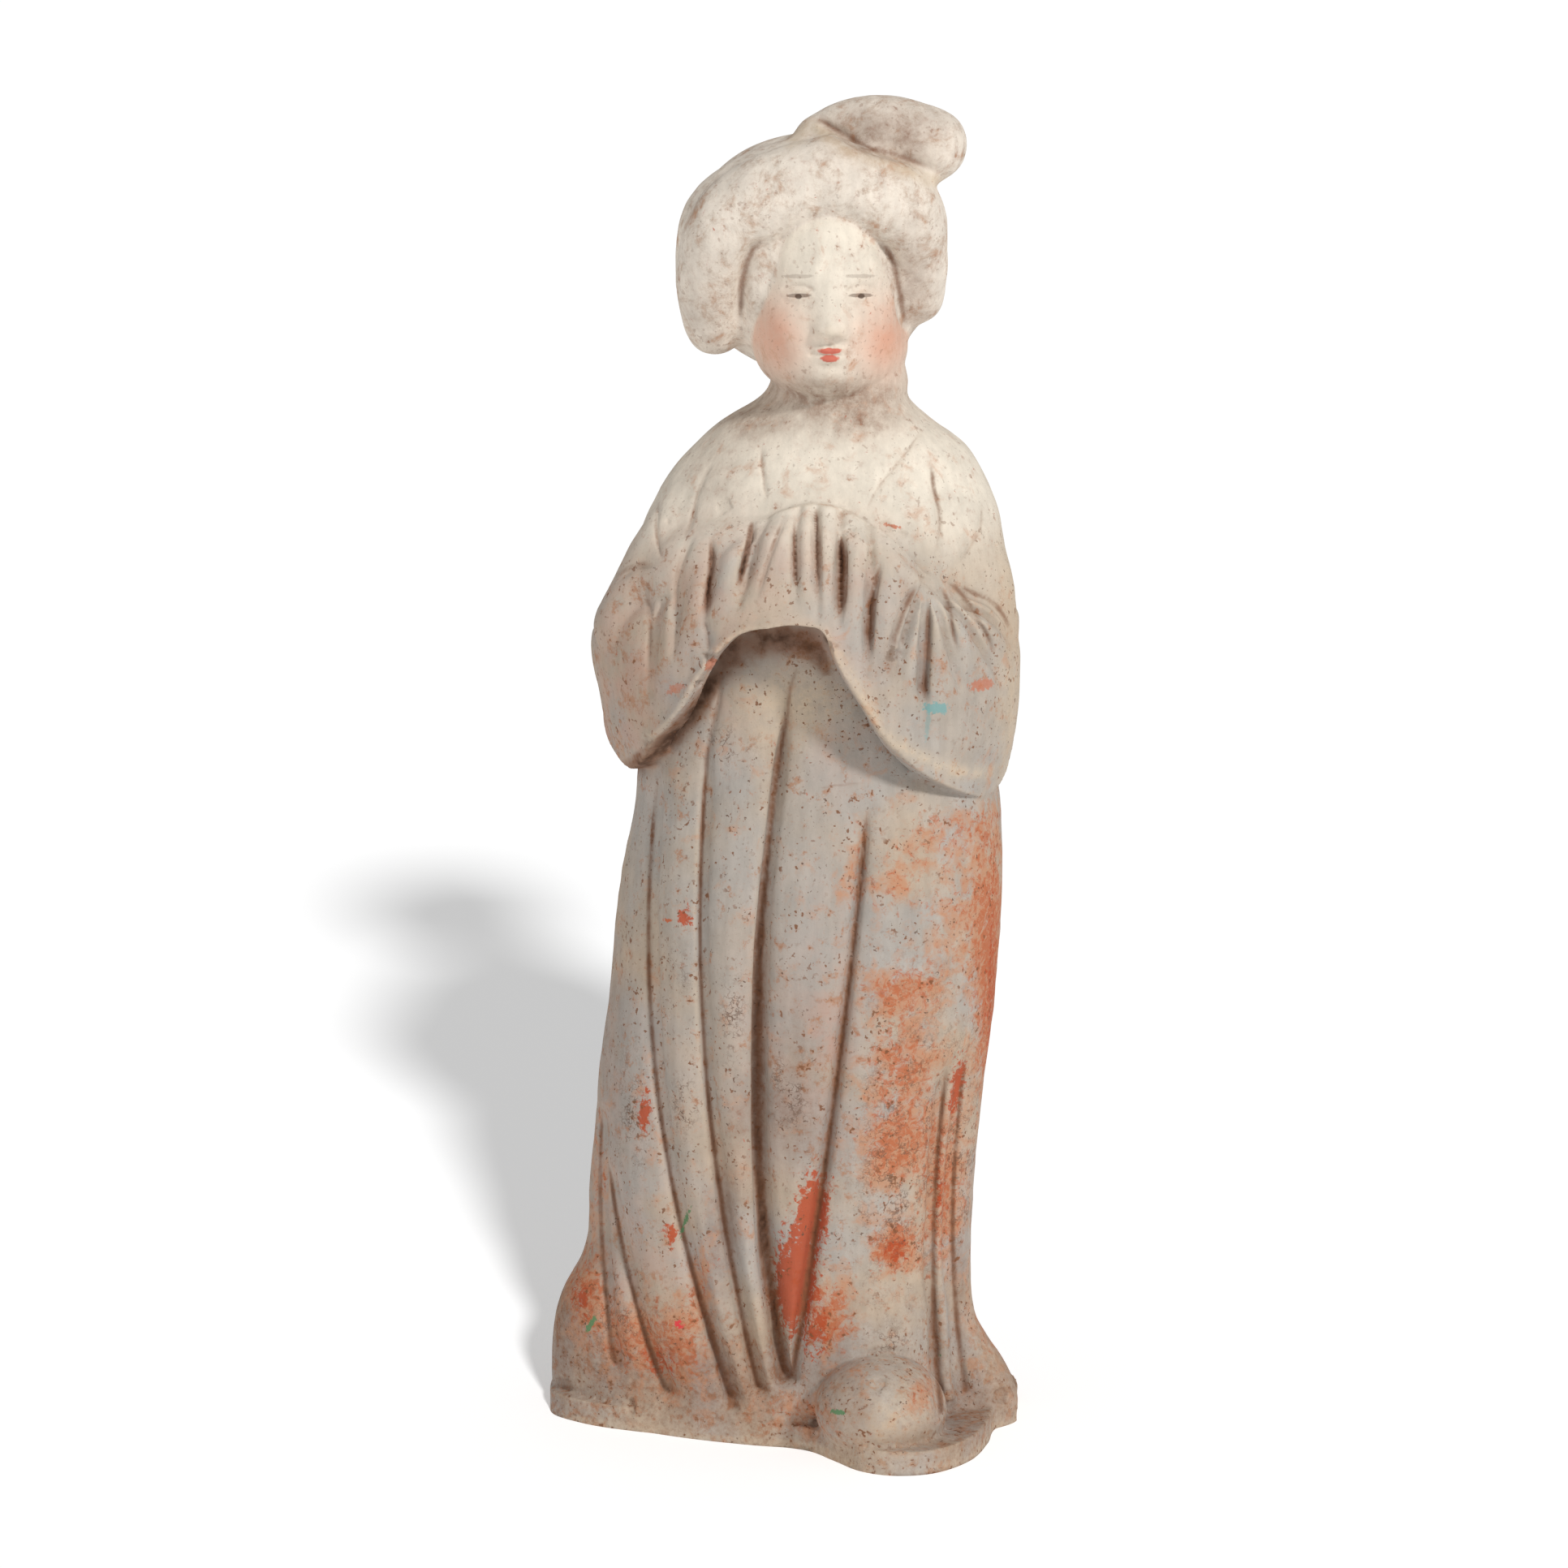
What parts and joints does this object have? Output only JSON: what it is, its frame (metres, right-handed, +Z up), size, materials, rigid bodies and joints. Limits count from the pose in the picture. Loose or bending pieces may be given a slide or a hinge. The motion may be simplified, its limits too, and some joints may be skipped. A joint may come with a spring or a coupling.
{
  "type": "ceramic standing figure",
  "caption": "Standing court lady figure in painted terracotta, in a long pleated robe with draped sleeves and a side topknot.",
  "frame": {"origin": "middle of the bounding box, at the flat underside", "axes": "+Z up to the topknot, -Y out of the front of the figure, +X to the right of someone facing it"},
  "size_m": [0.1782, 0.1492, 0.5],
  "materials": {
    "fired_clay": "matte"
  },
  "bodies": {
    "root": {"court_lady": "fired_clay"}
  },
  "joints": []
}
